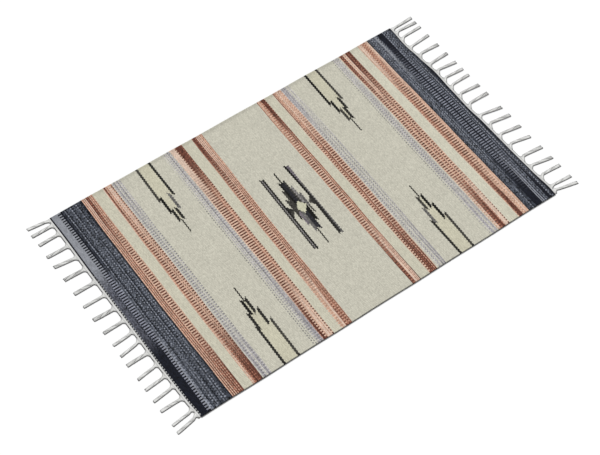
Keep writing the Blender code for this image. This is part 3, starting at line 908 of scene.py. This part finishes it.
def add_tassel(work, side, end_rows, tassel, arches, spreads, chance):
    """One tassel: its yarns leave the header in an arch, gather at the neck and twist."""
    root, neck, tip, width, reach = tassel
    far_arch, near_arch = arches
    neck_spread, tip_spread = spreads
    root_edge = header_edge(side, end_rows, root)
    length = CLOTH_LENGTH / 2 + reach - root_edge
    twist = chance.uniform(*TWIST) * chance.choice((-1, 1))
    sway = chance.uniform(-SWAY, SWAY)
    for strand in range(YARNS_IN_TASSEL):
        order = -1.0 + 2.0 * strand / (YARNS_IN_TASSEL - 1)
        angle = math.acos(order) * (1 if strand % 2 else -1)
        cut = length + chance.uniform(*CUT)
        path, radii, spans = [], [], []
        for step in range(YARN_STEPS + 1):
            out = (cut + YARN_START) * (step / YARN_STEPS) ** STEP_GROWTH - YARN_START
            free_out = max(out, 0.0)
            gathered = ease(out / NECK_PLACE)
            line = neck + (tip - neck) * (out - NECK_PLACE) / (length - NECK_PLACE)
            middle = root + (line - root) * gathered + sway * math.sin(math.pi * free_out / length)
            spread = neck_spread + (tip_spread - neck_spread) * ease(out / length)
            half = width / 2 * (1.0 + (spread - 1.0) * gathered) - YARN_RADIUS * gathered
            half += TASSEL_LOOSENESS / 2 * gathered
            turn = angle + twist * math.tau * gathered * free_out / length
            reach_aside = math.cos(turn)
            arch = far_arch if reach_aside > 0 else near_arch
            flare = 0.0
            if arch > 0.0 and out < arch:
                rest = arch - free_out
                flare = arch - math.sqrt(max(arch * arch - rest * rest, 0.0))
            across = middle + reach_aside * (half + flare)
            local = header_edge(side, end_rows, min(max(across, -CLOTH_WIDTH / 2), CLOTH_WIDTH / 2))
            along = local + (root_edge - local) * gathered + out
            tall = TASSEL_HEIGHT + (TIP_HEIGHT - TASSEL_HEIGHT) * ease(out / length)
            rise = (tall / 2 - YARN_RADIUS) * gathered
            height = YARN_RADIUS + rise + rise * math.sin(turn) + ROOT_LIFT * (1.0 - gathered)
            at_tip = step == YARN_STEPS
            # painted shade at the cut tip; near the root, a darkening that fades out along the yarn
            darkening = TIP_SHADE if at_tip else ROOT_DARKENING * (1.0 - ease(out / ROOT_DARKENING_LENGTH))
            path.append(Vector((side * along, across, height)))
            radii.append(YARN_RADIUS * (TIP_TAPER if at_tip else 1.0))
            spans.append((middle, half + flare + YARN_RADIUS, darkening * gathered))
        work.add_yarn(path, radii, spans, chance.uniform(0.0, 1.0))


def make_fringe(name, side, end_rows, tassels, spreads, seed):
    """The header and all the tassels of one end, as one mesh. The spreads are a tassel's widths at
    its neck and at its tip, as shares of that at its root."""
    chance = random.Random(seed)
    work = Yarnwork()
    work.add_header(side, end_rows)
    for number, tassel in enumerate(tassels):
        add_tassel(work, side, end_rows, tassel, root_arches(tassels, number), spreads, chance)
    mesh = bpy.data.meshes.new(name)
    mesh.from_pydata([tuple(point) for point in work.points], [], work.faces)
    mesh.shade_smooth()
    for attribute, values in (("yarn_run", work.along), ("yarn_round", work.round),
                              ("outer_yarn", work.darkening)):
        made = mesh.attributes.new(attribute, "FLOAT", "POINT")
        made.data.foreach_set("value", values)
    made = bpy.data.objects.new(name, mesh)
    bpy.context.scene.collection.objects.link(made)
    return made


left_fringe = make_fringe("fringe_yarns_left", -1, LEFT_END, LEFT_TASSELS,
                          spreads=(0.90, 1.00), seed=19)
right_fringe = make_fringe("fringe_yarns_right", 1, RIGHT_END, RIGHT_TASSELS,
                           spreads=(0.72, 1.16), seed=20)

PLY_TURNS = 420.0                # in a metre of yarn
FIBRES, SHADES = 900.0, 70.0     # changes in a metre
PLY_SHADE, FIBRE_DEPTH = 0.05, 0.12
PLY_RELIEF, FIBRE_RELIEF = 0.5, 0.5
FIBRE_ROUGHNESS, COTTON_ROUGHNESS = 0.15, 0.78
cotton = bpy.data.materials.new("undyed_cotton")
cotton.use_nodes = True
tree = cotton.node_tree
where = node("ShaderNodeTexCoord").outputs["Object"]
run = node("ShaderNodeAttribute", attribute_name="yarn_run").outputs["Fac"]
around = node("ShaderNodeAttribute", attribute_name="yarn_round").outputs["Fac"]
ply = maths("SINE", maths("MULTIPLY", maths("MULTIPLY_ADD", run, PLY_TURNS, around), math.tau))
fibres = noise("3D", where, FIBRES, detail=3.0)
shades = noise("3D", where, SHADES, detail=2.0)
tint = node("ShaderNodeValToRGB")
tint.color_ramp.elements[0].position = 0.30
tint.color_ramp.elements[0].color = (*dyed(232, 232, 229), 1.0)
tint.color_ramp.elements[1].position = 0.70
tint.color_ramp.elements[1].color = (*dyed(250, 250, 248), 1.0)
tree.links.new(shades, tint.inputs[0])
# painted shade in the grooves between the plies
depth = maths("MULTIPLY_ADD", ply, PLY_SHADE, 1.0 - PLY_SHADE)
depth = maths("MULTIPLY_ADD", maths("SUBTRACT", fibres, 0.5), FIBRE_DEPTH, depth)

# The lower side of a tassel and its outermost yarns get painted shade; the same darkening share also
# darkens the header and the roots a little
LOW_SHADE_FROM, LOW_SHADE_TO = 0.0021, 0.0008          # heights: unshaded above the first, fully shaded below
LOW_SHADE_DEPTH = 0.12               # what a shaded lower side keeps of its colour
OUTER_DARKENING, OUTER_SHARPNESS = 0.92, 2.6
directions = node("ShaderNodeSeparateXYZ")
tree.links.new(where, directions.inputs[0])
low_shade = smooth_change(directions.outputs["Z"], LOW_SHADE_TO, LOW_SHADE_FROM, LOW_SHADE_DEPTH, 1.0)
outer = node("ShaderNodeAttribute", attribute_name="outer_yarn").outputs["Fac"]
outer = maths("POWER", outer, OUTER_SHARPNESS)
depth = maths("MULTIPLY", depth, maths("MULTIPLY_ADD", outer, -OUTER_DARKENING, low_shade))
colour = deepen(tint.outputs[0], depth)
relief = maths("MULTIPLY_ADD", fibres, FIBRE_RELIEF, maths("MULTIPLY", ply, PLY_RELIEF))
roughness = maths("MULTIPLY_ADD", fibres, FIBRE_ROUGHNESS, COTTON_ROUGHNESS)
shader = tree.nodes["Principled BSDF"]
shader.inputs["Specular IOR Level"].default_value = 0.3
shader.inputs["Sheen Weight"].default_value = 0.1
tree.links.new(colour, shader.inputs["Base Color"])
tree.links.new(roughness, shader.inputs["Roughness"])
tree.links.new(raised_by(relief, strength=0.7, distance=0.00025), shader.inputs["Normal"])

for piece, solid in ((left_fringe, "fringe_left"), (right_fringe, "fringe_right")):
    piece.data.materials.append(cotton)
    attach(piece, "root")
    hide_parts(solid)
